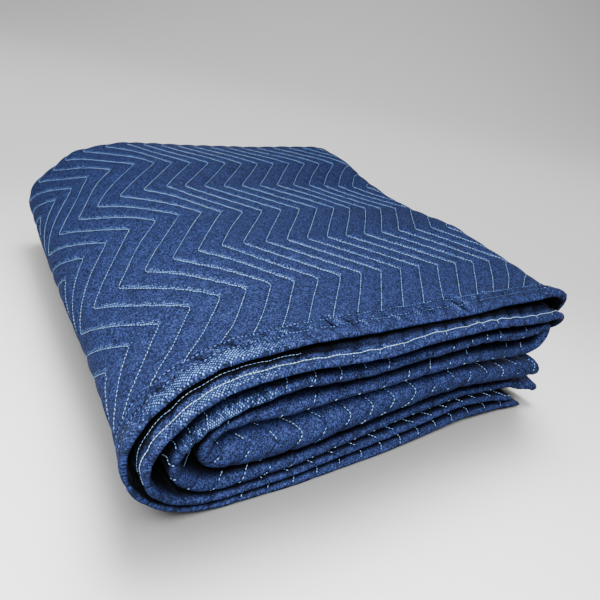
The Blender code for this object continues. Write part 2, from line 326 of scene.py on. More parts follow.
def settledTable():
    depths = np.array([row[0] for row in settledRows]) / 1000
    margin, step = settling["margin"], settling["step"]
    fine = np.arange(-margin, depths[-1] + margin, step)
    table = {}
    for k, name in enumerate(settledColumns[1:], 1):
        values = np.interp(fine, depths, [row[k] / 1000 for row in settledRows])
        table[name] = smoothed(values, settling["window"])
    return fine, table


settledAt, settled = settledTable()


def settle(x, y, z):
    share, depth = z / fold["stackHeight"], y - fold["frontY"]
    moved = {name: np.interp(depth, settledAt, values) for name, values in settled.items()}
    part = {name: ease(((z if name == "upper" else x) - start) / run)
            for name, (start, run) in sides.items()}
    raised = moved["rightUp"] * part["right"] + moved["middleUp"] * part["middle"]
    slumped = moved["leftDown"] * part["slump"]
    nearFront = ease((corner["depth"] - depth) / corner["run"])
    lowered = corner["droop"] * hump((z - corner["height"]) / corner["reach"])
    slid = moved["leftSlid"] * hump((x - slide[0]) / slide[1]) * share**2
    x = x + moved["leftIn"] * part["left"] + moved["rightOut"] * part["right"] * part["upper"]
    lowered = lowered * nearFront * part["corner"]
    return x - slid, y, z + raised * share**2 - slumped * share**1.5 - lowered


def clothMiddle(s, v):
    # middle of the cloth's thickness
    y, n, ply = section(s, v)
    x, z, outX, outZ = strip.middle(s)
    for segment, slips in slip.items():
        end = strip.place(segment, 0.0 if segment == "ground" else 1.0)
        nearEnd = 1.0 - ease(np.abs(s - end) / fold["slipRun"])
        frontward = 1.0 - ease((y - fold["frontY"]) / fold["hemSlipReach"])
        amount = np.choose(ply, [slips["b"] / 1000, slips["fold"] / 1000, slips["a"] / 1000])
        x = x + amount * nearEnd * frontward
    return np.column_stack(settle(x + n * outX, y, z + n * outZ))


def unit(vectors):
    return vectors / np.linalg.norm(vectors, axis=1, keepdims=True)


def faceNormal(s, v, step=0.0008):
    # out of the cloth's face side
    alongS = clothMiddle(s + step, v) - clothMiddle(s - step, v)
    alongV = clothMiddle(s, v + step) - clothMiddle(s, v - step)
    return unit(np.cross(alongV, alongS))


def roomInside(s, v, side):
    # radius of the tightest hollow curve on this side, so that the skin isn't pushed through it
    step = 0.0012
    room = np.full(len(s), 1.0)
    for ds, dv in ((step, 0.0), (0.0, step)):
        moved = clothMiddle(s + ds, v + dv) - clothMiddle(s - ds, v - dv)
        turned = (faceNormal(s + ds, v + dv) - faceNormal(s - ds, v - dv)) * side
        closing = -np.sum(moved * turned, axis=1) / np.sum(moved * moved, axis=1)
        room = np.minimum(room, 1.0 / np.maximum(closing, 1.0))
    return room


# the quilting: chevron rows through both skins, in metres on the flat cloth
quilt = {
    "rowPitch": 0.025,  # from row to row along the front edge
    "chevronLength": 0.1595,
    "chevronWidth": 0.063,  # from its left corners to its right ones
    "firstCorner": 0.4078,  # a right corner's distance from hem A
    "phase": strip.place("top", 0.0) - fold["bendX"] - 0.1712,
    "cornerRound": 0.022,  # share of the length that each corner takes
    "wander": 0.0010,  # how far a row strays from its line
    "wanderSize": 0.045,
    "seam": 0.0010,  # half thickness at a row of stitches
    "puff": 0.0019,  # how much the batting adds between rows
    "uneven": 0.25,  # share by which that varies
    "unevenSize": 0.028,
    "edgePuff": -0.40,  # pressed flatter near the front folds
    "edgePuffReach": 0.060,
    "hem": 0.0006,  # how much the turned hem adds
    "hemDepth": 0.030,
    "hemFade": 0.004,
    "hemPressed": 0.45,  # share taken off it along its stitches
    "hemPressedWidth": 0.0018,
    "rimRound": 0.0045,
    "lump": 0.0006,  # broad unevenness of the batting
    "lumpSize": 0.070,
    "pucker": 0.0006,  # fine puckers, long across the hem
    "puckerSize": (0.008, 0.016),
    "puckerReach": 0.044,
    "puckerFade": 0.014,
    "creaseStray": 0.0010,  # how far a crease strays from its line
    "creaseStraySize": 0.012,
    "roomUsed": 0.72,  # share of a hollow curve's radius that the skin may fill
}
# the two rows of stitches on each hem, from its edge
hemRows = {"A": (0.0150, 0.0255), "B": (0.0088, 0.0170), "side": (0.0090, 0.0175)}
rowSlope = 2 * quilt["chevronWidth"] / quilt["chevronLength"]
rowGap = quilt["rowPitch"] / math.hypot(1.0, rowSlope)


def zigzag(v):
    # how far left of its right corners a row is at v
    w = (vEnd - v - quilt["firstCorner"]) / quilt["chevronLength"]
    soft = quilt["cornerRound"]

    def softened(d):
        return np.where(d < soft, (d * d + soft * soft) / (2 * soft), d)

    d = softened(np.abs(w - np.round(w)))
    return quilt["chevronWidth"] * (1.0 - 2.0 * softened(0.5 - d))


def rowNumber(s, v):
    # whole numbers lie on the rows of stitches
    wander = quilt["wander"] * grain((s, v, 0 * s), quilt["wanderSize"], 3.7)
    return (s - quilt["phase"] + zigzag(v) + wander) / quilt["rowPitch"]


def hemDistance(s, v):
    # distance from the nearest edge, and how deep that hem's stitch rows press
    fromS = np.minimum(s, strip.total - s)
    nearest = np.minimum(np.minimum(v, vEnd - v), fromS)
    pressed = 0.0
    for name, away in (("A", vEnd - v), ("B", v), ("side", fromS)):
        own = away <= nearest + 1e-6
        for row in hemRows[name]:
            near = np.exp(-((away - row) / quilt["hemPressedWidth"]) ** 2)
            pressed = np.maximum(pressed, own * near)
    return np.maximum(nearest, 0.0), pressed


# The main creases, in millimetres and degrees, by their edge and segment. away: in from that hem,
# or towards hem A from the front fold. lean: from straight across it. width: half of it. height:
# below nothing for a trough. Those at hem B are on the cloth's reverse.
creaseColumns = ("along", "away", "length", "lean", "width", "height")
creaseRows = {
    ("hemA", "top"): (
        (0.63, 17, 42, 10, 3.8, -2), (0.652, 19, 40, 14, 3, 1.8), (0.606, 12, 22, 4, 4, 0.9),
        (0.7, 20, 18, 48, 3, 0.9), (0.716, 15, 16, 40, 3, -0.8), (0.76, 24, 20, -32, 3, 0.8),
        (0.83, 16, 18, -14, 3.2, -0.6), (0.52, 11, 16, -12, 3, -0.7), (0.47, 12, 20, 10, 2.8, 0.7),
        (0.402, 10, 22, 14, 2.6, 0.9), (0.385, 13, 20, 12, 2.6, -0.8),
        (0.345, 14, 16, 8, 2.6, 0.6), (0.3, 12, 20, 16, 2.6, 0.8), (0.268, 16, 22, 16, 2.6, -0.9),
        (0.24, 21, 32, 15, 2.8, 1.1), (0.222, 20, 30, 14, 2.8, -1.2),
        (0.165, 16, 20, 22, 2.8, 0.8), (0.125, 20, 18, 26, 2.8, -0.9),
        (0.098, 18, 20, 24, 2.8, 0.9), (0.055, 22, 16, 30, 2.8, -0.8), (0.02, 18, 20, 28, 3, 0.8),
    ),
    ("hemA", "bend"): (
        (0.965, 20, 22, 30, 3, -1), (0.92, 17, 24, 30, 3, 0.9), (0.86, 19, 22, 34, 3.2, -1),
        (0.8, 14, 20, 28, 3.4, 0.9), (0.72, 16, 22, 24, 3.4, -0.8), (0.33, 12, 24, -18, 4, 1.2),
        (0.27, 11, 20, -22, 4, -1.4), (0.215, 12, 22, -20, 4.5, 1.3), (0.15, 10, 18, -16, 4, -1.2),
    ),
    ("hemB", "bend"): (
        (0.3, 10, 22, 18, 4, 1.2), (0.235, 9, 20, 20, 4, -1.4), (0.18, 10, 20, 16, 4.5, 1.1),
    ),
    ("hemB", "top"): (
        (0.06, 8, 16, -24, 2.6, 0.7), (0.135, 9, 18, -22, 2.6, -0.8),
        (0.205, 8, 16, -20, 2.6, 0.8), (0.262, 9, 18, -18, 2.6, -0.8),
        (0.33, 8, 16, -22, 2.6, 0.8), (0.398, 8, 14, -20, 2.6, -0.7), (0.5, 8, 16, -18, 2.8, 0.8),
        (0.61, 9, 18, -24, 2.8, -0.9), (0.648, 8, 18, -30, 2.8, 1), (0.76, 8, 16, -20, 3, 0.7),
    ),
    ("fold", "bend"): (
        (0.42, -5, 18, 22, 3.2, -0.8), (0.56, 4, 20, -18, 3.2, 0.8), (0.69, -4, 18, 20, 3.2, -0.8),
        (0.84, 5, 18, -20, 3, 0.8),
    ),
    ("fold", "top"): (
        (0.04, -6, 20, 18, 3, -0.9), (0.15, -4, 18, 20, 3, 0.8), (0.29, -5, 18, -16, 3, -0.8),
        (0.44, 4, 16, 20, 3, 0.7), (0.59, -5, 18, -18, 3, -0.8),
    ),
    ("fold", "third"): (
        (0.02, 7, 22, -30, 3.4, -1), (0.095, 8, 24, -34, 3.4, 1), (0.17, 8, 24, -34, 3.2, -1.2),
        (0.24, 7, 20, -30, 3.2, 0.9), (0.31, 8, 24, -36, 3.2, -1.2), (0.37, 6, 18, -30, 3.2, 0.8),
        (0.43, 7, 22, -34, 3.2, -1.1), (0.52, 7, 20, -30, 3.2, 0.8), (0.59, 7, 20, -34, 3.2, -1),
        (0.69, 6, 18, -30, 3.2, -0.8), (0.8, 6, 18, -30, 3.2, -0.8),
    ),
    ("hemB", "ground"): (
        (0.3, 8, 18, 16, 3.2, -0.8), (0.62, 8, 18, -14, 3.2, 0.8),
    ),
}


def creased(s, v, side):
    # height of the creases, and 1 on their ridges or -1 in their troughs
    height, line = np.zeros(len(s)), np.zeros(len(s))
    strays = quilt["creaseStray"] * grain((s, v, 0 * s), quilt["creaseStraySize"], 41.0)
    showing = [
        (edge, segment, dict(zip(creaseColumns, row)))
        for (edge, segment), rows in creaseRows.items()
        for row in rows if side == (-1 if edge == "hemB" else 1)
    ]
    for edge, segment, crease in showing:
        away, turned = crease["away"] / 1000, math.radians(crease["lean"])
        middle = {"hemA": vEnd - away, "hemB": away, "fold": vFold + away}[edge]
        offS, offV = s - strip.place(segment, crease["along"]), v - middle
        down = offV * math.cos(turned) + offS * math.sin(turned)
        off = offS * math.cos(turned) - offV * math.sin(turned) + strays
        shape = np.exp(-(off * 1000 / crease["width"]) ** 2)
        shape = shape * np.sqrt(hump(down * 2000 / crease["length"]))
        height += crease["height"] / 1000 * shape
        shape = shape**2 * np.sign(crease["height"])
        line = np.where(np.abs(shape) > np.abs(line), shape, line)
    return height, line


def relief(s, v, side):
    # half thickness of the cloth on this side
    fromEdge, pressed = hemDistance(s, v)
    u = rowNumber(s, v)
    profile = np.sin(np.pi * np.abs(u - np.round(u))) ** 0.5
    lumps = 1.0 + quilt["uneven"] * grain((s, v, 0 * s + side), quilt["unevenSize"], 11.0)
    crowded = 1.0 + quilt["edgePuff"] * np.exp(-((v - vFold) / quilt["edgePuffReach"]) ** 2)
    height = quilt["puff"] * profile * lumps * crowded
    inHem = 1.0 - ease((fromEdge - quilt["hemDepth"]) / quilt["hemFade"])
    height = (height + quilt["hem"] * inHem) * (1.0 - quilt["hemPressed"] * pressed)
    short, long = quilt["puckerSize"]
    puckers = quilt["pucker"] * grain((s / short, v / long, 0 * s + side), 1.0, 5.0)
    height += puckers * ease((quilt["puckerReach"] - fromEdge) / quilt["puckerFade"])
    height += quilt["lump"] * grain((s, v, 0 * s + 2 * side), quilt["lumpSize"], 21.0)
    height += creased(s, v, side)[0]
    rim = np.clip(fromEdge / quilt["rimRound"], 0.0, 1.0)
    return (quilt["seam"] + np.maximum(height, 0.0)) * np.sqrt(1.0 - (1.0 - rim) ** 2)


aboveFloor = 0.0003  # where the lowest cloth rests


def clothSurface(s, v, side):
    # side 1 is the face, -1 the reverse
    height = np.minimum(relief(s, v, side), quilt["roomUsed"] * roomInside(s, v, side))
    points = clothMiddle(s, v) + faceNormal(s, v) * (side * height)[:, None]
    points[:, 2] = np.maximum(points[:, 2], aboveFloor)
    return points


# the cloth's mesh: each skin a flat grid, cut finer where it shows, then folded
cells = {
    "hidden": 0.030,  # longest edges, in metres
    "middling": 0.0070,
    "fine": 0.0036,
    "creased": 0.0020,
    "creasedFace": 0.032,  # and how far from an edge or fold each band reaches
    "creasedReverse": 0.016,
    "showingHem": 0.044,
    "hemBand": 0.022,
    "endBand": 0.026,
    "foldBand": 0.036,
    "slotBand": 0.060,
    "creaseBand": 0.010,
    "rim": (0.0007, 0.0020, 0.0045),  # grid lines near each edge
    "edgeBand": 0.040,
    "foldTurn": 0.012,
}


def spaced(stops):
    # grid lines, from places and how many cells lie between each and the one before
    lines = [stops[0][0]]
    for place, count in stops[1:]:
        lines += list(np.linspace(lines[-1], place, count + 1)[1:])
    return np.array(lines)


def gridLines():
    place, rim, edge = strip.place, cells["rim"], cells["edgeBand"]
    band, turn = cells["foldBand"], cells["foldTurn"]
    start = ((0.0, 0), *((r, 1) for r in rim))

    def toRim(end, count):
        return (end - rim[2], count), (end - rim[1], 1), (end - rim[0], 1), (end, 1)

    across = spaced((
        *start, (place("ground", 0.08), 2), (place("bend", 0.0), 14), (place("top", 0.0), 16),
        (place("turn", 0.0), 14), (place("second", 0.0), 10), (place("tuck", 0.0), 14),
        (place("third", 0.0), 8), (place("third", 0.92), 14), *toRim(strip.total, 2),
    ))
    along = spaced((
        *start, (edge, 3), (vB, 19), (vC, 4), (vFold - band, 19), (vFold - turn, 2),
        (vFold + turn, 8), (vFold + band, 2), (vD, 19), (vA, 8), (vEnd - edge, 19),
        *toRim(vEnd, 3),
    ))
    return across, along


def cellSize(s, v, side):
    # longest edge wanted; both skins agree on the rims, where they are joined
    place, fine, middling = strip.place, cells["fine"], cells["middling"]
    nearCrease = cells["creaseBand"]
    fromHemA, fromFold, fromEnd = vEnd - v, abs(v - vFold), min(s, strip.total - s)
    outside = place("ground", 0.94) < s < place("turn", 1.0)
    onRim = 1e-5
    if place("bend", 0.60) < s < place("top", 0.90):
        if side > 0 and onRim < fromHemA < cells["creasedFace"]:
            return cells["creased"]
        if side < 0 and onRim < v < cells["creasedReverse"]:
            return cells["creased"]
    if fromEnd < onRim:
        return middling
    if min(v, fromHemA) < onRim:
        return fine
    if outside and side < 0 and v < cells["showingHem"]:
        return fine
    if outside and side > 0 and v > vD - nearCrease:
        return fine
    if side > 0 and fromFold < cells["foldBand"]:
        return fine
    if min(v, fromHemA) < cells["hemBand"] or fromEnd < cells["endBand"]:
        return middling
    if side > 0 and vD - nearCrease < v < vA + nearCrease:
        return middling
    if side > 0 and s > place("second", 0.0) and 0 < vFold - v < cells["slotBand"]:
        return middling
    return cells["hidden"]


def finishedMesh(bm, name):
    mesh = bpy.data.meshes.new(name)
    bm.to_mesh(mesh)
    bm.free()
    return mesh


def placed(name, data):
    thing = bpy.data.objects.new(name, data)
    bpy.context.scene.collection.objects.link(thing)
    return thing


def flatSkin(side):
    across, along = gridLines()
    bm = bmesh.new()
    bmesh.ops.create_grid(bm, x_segments=len(across) - 1, y_segments=len(along) - 1, size=0.5)
    for vert in bm.verts:
        column = round((vert.co.x + 0.5) * (len(across) - 1))
        row = round((vert.co.y + 0.5) * (len(along) - 1))
        vert.co = (across[column], along[row], 0.0)
    for _ in range(4):
        long = []
        for edge in bm.edges:
            middle = (edge.verts[0].co + edge.verts[1].co) / 2
            if edge.calc_length() > cellSize(middle.x, middle.y, side):
                long.append(edge)
        if not long:
            break
        bmesh.ops.subdivide_edges(bm, edges=long, cuts=1, use_grid_fill=True)
    if side > 0:
        bmesh.ops.reverse_faces(bm, faces=bm.faces)
    return finishedMesh(bm, "flatSkin")


def coordinates(mesh):
    flat = np.empty(len(mesh.vertices) * 3, np.float32)
    mesh.vertices.foreach_get("co", flat)
    return flat.reshape(-1, 3).astype(float)


def nameFlatPlaces(mesh, flat):
    # the UV map holds the place on the flat cloth, in metres
    layer = mesh.uv_layers.new(name="flatCloth")
    corners = np.empty(len(mesh.loops), np.int32)
    mesh.loops.foreach_get("vertex_index", corners)
    layer.data.foreach_set("uv", flat[corners, :2].astype(np.float32).ravel())
    # and the second one the row number and the distance from the edge
    fromEdge, _ = hemDistance(flat[:, 0], flat[:, 1])
    rows = np.column_stack((rowNumber(flat[:, 0], flat[:, 1]), fromEdge))
    layer = mesh.uv_layers.new(name="quiltRows")
    layer.data.foreach_set("uv", rows[corners].astype(np.float32).ravel())


# wear and a painted highlight: pale threads on the outer edges and the front fold, strongest at the
# bend
wearAndHighlight = {
    "edgeCrest": (0.006, 0.006),  # how far in it is most worn and most lit by the painted highlight, and how far around
    "foldCrest": 0.008,  # half width on the front fold
    "inner": 0.35,  # share of wear and painted highlight on the cloth behind hem A
    "innerReach": 0.030,
    "straight": 0.08,  # share away from the bend
    "bendAt": 0.88,
    "bendReach": 0.090,
}


def wornAndLitThreads(s, v):
    # how much the pale threads show: worn on the outer edges, where a highlight is painted too,
    # most where the strip bends
    fromEdge, _ = hemDistance(s, v)
    crestAt, crestWidth = wearAndHighlight["edgeCrest"]
    crest = np.exp(-((fromEdge - crestAt) / crestWidth) ** 2)
    crest = crest + np.exp(-((v - vFold) / wearAndHighlight["foldCrest"]) ** 2)
    inner = wearAndHighlight["inner"] * np.exp(-(fromEdge / wearAndHighlight["innerReach"]) ** 2) * (v > vFold)
    bent = hump((s - strip.place("bend", wearAndHighlight["bendAt"])) / wearAndHighlight["bendReach"])
    along = wearAndHighlight["straight"] + (1.0 - wearAndHighlight["straight"]) * bent
    return np.clip(crest * along + inner * bent, 0.0, 1.0)


def quiltedCloth():
    bm = bmesh.new()
    for side in (1, -1):
        mesh = flatSkin(side)
        flat = coordinates(mesh)
        nameFlatPlaces(mesh, flat)
        # the worn mark holds wear and a painted highlight; the creased mark sets a painted
        # highlight on crease ridges and painted shade in their troughs
        marks = {"wornAndLit": wornAndLitThreads(*flat[:, :2].T), "creased": creased(*flat[:, :2].T, side)[1]}
        for name, values in marks.items():
            mark = mesh.attributes.new(name, "FLOAT", "POINT")
            mark.data.foreach_set("value", values.astype(np.float32))
        folded = clothSurface(flat[:, 0], flat[:, 1], side)
        mesh.vertices.foreach_set("co", folded.astype(np.float32).ravel())
        bm.from_mesh(mesh)
        bpy.data.meshes.remove(mesh)
        report(f"skin {side} has {len(flat)} points")
    rim = {vert for edge in bm.edges if edge.is_boundary for vert in edge.verts}
    bmesh.ops.remove_doubles(bm, verts=list(rim), dist=0.0002)
    openEdges = sum(edge.is_boundary for edge in bm.edges)
    triangles = sum(len(face.verts) - 2 for face in bm.faces)
    report(f"cloth has {triangles} triangles and {openEdges} open edges")
    mesh = finishedMesh(bm, "quilted_cloth")
    mesh.shade_smooth()
    return placed("quilted_cloth", mesh)


def laidStitch():
    # one stitch: a spindle one unit long and wide, along X
    bm = bmesh.new()
    bmesh.ops.create_uvsphere(bm, u_segments=4, v_segments=4, radius=0.5)
    bmesh.ops.rotate(bm, verts=bm.verts, matrix=Matrix.Rotation(math.pi / 2, 3, "Y"))
    return finishedMesh(bm, "laidStitch")


thread = {
    "pitch": 0.0032,  # eight stitches to the inch
    "stagger": 0.37,  # share of it from one row's first stitch to the next row's
    "rowStep": 0.0008,  # how finely a row is followed
    "hemStep": 0.0020,
    "length": 0.0023,
    "width": 0.0008,
    "lift": 0.0001,  # how far its middle stands above the cloth
    "search": 0.0020,
    "clearOfEdge": 0.0030,
    "stray": 0.0005,  # how far a hem row strays from its line
    "straySize": 0.020,
    "run": 3,  # stitches in each run that shows or is buried
    "patch": 1 / 160,  # size of its worn and dull patches
    "patchRange": (0.38, 0.62),
    "surface": {"Roughness": 0.6},
}


def alongPath(s, v, offset=0.0, longer=1.0):
    # places every stitch pitch along a line on the flat cloth
    run = np.concatenate([[0.0], np.cumsum(np.hypot(np.diff(s), np.diff(v)))])
    at = np.arange((0.5 + offset) * thread["pitch"], run[-1], thread["pitch"])
    half = thread["length"] * longer / 2
    ends = [(np.interp(at + step, run, s), np.interp(at + step, run, v)) for step in (-half, half)]
    return np.column_stack((*ends[0], *ends[1]))


def quiltingRows(sFrom, sTo, vFrom, vTo):
    # both ends of each stitch of the chevron rows inside part of the flat cloth
    v = np.arange(vFrom, vTo, thread["rowStep"])
    first = math.floor((sFrom - quilt["phase"]) / quilt["rowPitch"])
    last = math.ceil((sTo - quilt["phase"] + quilt["chevronWidth"]) / quilt["rowPitch"])
    found = []
    for row in range(first, last + 1):
        s = quilt["phase"] + row * quilt["rowPitch"] - zigzag(v)
        s = s + (row - rowNumber(s, v)) * quilt["rowPitch"]
        ends = alongPath(s, v, row * thread["stagger"] % 1.0)
        middle = (ends[:, 0] + ends[:, 2]) / 2
        found.append(ends[(middle > sFrom) & (middle < sTo)])
    return np.concatenate(found)


def hemRow(sFrom, sTo, v, longer=1.0):
    s = np.arange(sFrom, sTo, thread["hemStep"])
    strays = thread["stray"] * grain((s, 0 * s + v, 0 * s), thread["straySize"], 31.0)
    return alongPath(s, v + strays, longer=longer)


def inBursts(ends, chance, seed):
    # only some of the stitches, in short runs, as where a fold buries the rest
    chooser = np.random.default_rng(seed)
    run = thread["run"]
    runs = np.repeat(chooser.random(len(ends) // run + 1), run)[:len(ends)]
    return ends[runs < chance]


def laidOn(surface, s, v, side):
    # the cloth's mesh at flat places, a little off the rule because of its cells
    points, out = clothSurface(s, v, side), faceNormal(s, v) * side
    for k, (point, normal) in enumerate(zip(points, out)):
        start = Vector(point + normal * thread["search"])
        hit = surface.ray_cast(start, Vector(-normal), 2 * thread["search"])[0]
        if hit:
            points[k] = hit
    return points


def stitches(name, ends, side, material, width):
    # one joined mesh of stitches, each laid along the cloth between its two ends
    fromEdge = np.minimum(np.minimum(ends[:, 0], strip.total - ends[:, 0]),
                          np.minimum(ends[:, 1], vEnd - ends[:, 1]))
    ends = ends[fromEdge > thread["clearOfEdge"]]
    one, two = (laidOn(clothMesh, ends[:, k], ends[:, k + 1], side) for k in (0, 2))
    s, v = (ends[:, 0] + ends[:, 2]) / 2, (ends[:, 1] + ends[:, 3]) / 2
    middle = (one + two + laidOn(clothMesh, s, v, side)) / 3
    up = faceNormal(s, v) * side
    along = unit(two - one)
    across = unit(np.cross(up, along))
    up = np.cross(along, across)
    length = np.linalg.norm(two - one, axis=1, keepdims=True)
    base = laidStitch()
    shape = coordinates(base)
    bm = bmesh.new()
    for _ in range(len(ends)):
        bm.from_mesh(base)
    mesh = finishedMesh(bm, name)
    bpy.data.meshes.remove(base)
    thick = thread["width"] * width
    spots = (middle + up * thread["lift"])[:, None, :]
    spots = spots + shape[None, :, 0:1] * (along * length)[:, None, :]
    spots = spots + shape[None, :, 1:2] * across[:, None, :] * thick
    spots = spots + shape[None, :, 2:3] * up[:, None, :] * thick
    mesh.vertices.foreach_set("co", spots.astype(np.float32).ravel())
    mesh.update()
    mesh.shade_smooth()
    piece = placed(name, mesh)
    piece.data.materials.append(material)
    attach(piece, "root")
    report(f"{name} has {len(ends)} stitches, {len(mesh.polygons)} faces")
    return piece


def linear(code):
    # an sRGB hex colour as linear light
    channels = [int(code[k:k + 2], 16) / 255 for k in (1, 3, 5)]
    return [c / 12.92 if c < 0.04045 else ((c + 0.055) / 1.055) ** 2.4 for c in channels] + [1.0]


def addNode(tree, kind, *values, **named):
    # Values are its inputs in order: numbers, outputs, or nodes for their first output. Names with
    # a capital are inputs too, and the others are settings.
    node = tree.nodes.new("ShaderNode" + kind)
    inputs = dict(enumerate(values))
    for name, value in named.items():
        if name[0].isupper():
            inputs[name] = value
        else:
            setattr(node, name, value)
    for name, value in inputs.items():
        if isinstance(value, bpy.types.Node):
            value = value.outputs[0]
        if isinstance(value, bpy.types.NodeSocket):
            tree.links.new(value, node.inputs[name])
        else:
            node.inputs[name].default_value = value
    return node


def ridge(add, distance, width):
    # 1 on a line, and less to either side
    away = add("Math", distance, width, operation="DIVIDE")
    square = add("Math", away, away, 1.0, operation="MULTIPLY_ADD")
    return add("Math", 1.0, square, operation="DIVIDE")


# the yarn is drawn two to three times as coarse as it is, so that it shows in the render
weave = {
    "slub": 0.0008,  # size of the flecks of thick and thin yarn
    "dark": "#161b2b",  # thin places, and between the threads
    "body": "#283156",
    "light": "#43569a",  # tops of the threads
    "float": 0.0018,  # metres from one raised thread to the next, on the bias
    "floatStray": 0.1,
    "floatTop": (0.42, 0.10),  # from the edge of a raised thread to its full colour
    "floatShade": (0.22, 0.35),  # contrast of the raised threads, and how much wear and the painted highlight add
    "floatMean": 0.45,
    "pale": "#84b2ff",  # the raised threads, where the dye is rubbed off and where highlights are painted
    "paleRange": 0.7,  # how unevenly they show pale
    "paleFade": 0.45,
    "plain": 0.02,  # share of them rubbed on the flat cloth
    "wornAndLit": 0.75,  # on worn edges, with their painted highlight
    "paintedFringe": 0.85,  # and along the far side of a row of stitches, as a painted highlight
    "paintedFringeWidth": 0.0055,
    "nearWidth": 0.0018,  # the painted shade of the pleat on its near side
    "pressedFlat": (0.028, 0.045),  # neither shows near an edge or the front fold
    "mottle": 0.011,  # size of the dye's patches
    "mottleBy": 0.12,
    "mottleRange": (0.3, 0.7),
    "reach": 0.025,  # painted shade darkens the cloth where other cloth is nearer than this
    "clear": (0.36, 0.80),
    "seamWidth": 0.0011,  # half width of the crease that a row of stitches pulls in
    "seamDepth": 0.0011,
    "needleWidth": 0.0012,  # half width of the needle holes of the hem
    "pits": (-0.2, 0.6),  # where on each stitch's wave they lie
    "bump": 0.0004,
    "bumpStrength": 0.9,
    "sheenTint": "#a9bfee",
    "surface": {"Roughness": 0.85, "Specular IOR Level": 0.08,
                "Sheen Weight": 0.02, "Sheen Roughness": 0.30},
}
# how much of the light each of these takes, and the least that is left
shades = {"crease": -0.30, "pleat": -0.45, "needle": -0.70, "trough": 0.75, "least": 0.1}


def newMaterial(name, surface):
    # surface has a value for each plain socket
    material = bpy.data.materials.new(name)
    material.use_nodes = True
    shader = material.node_tree.nodes["Principled BSDF"]
    for socket, value in surface.items():
        shader.inputs[socket].default_value = value
    return material, material.node_tree, shader


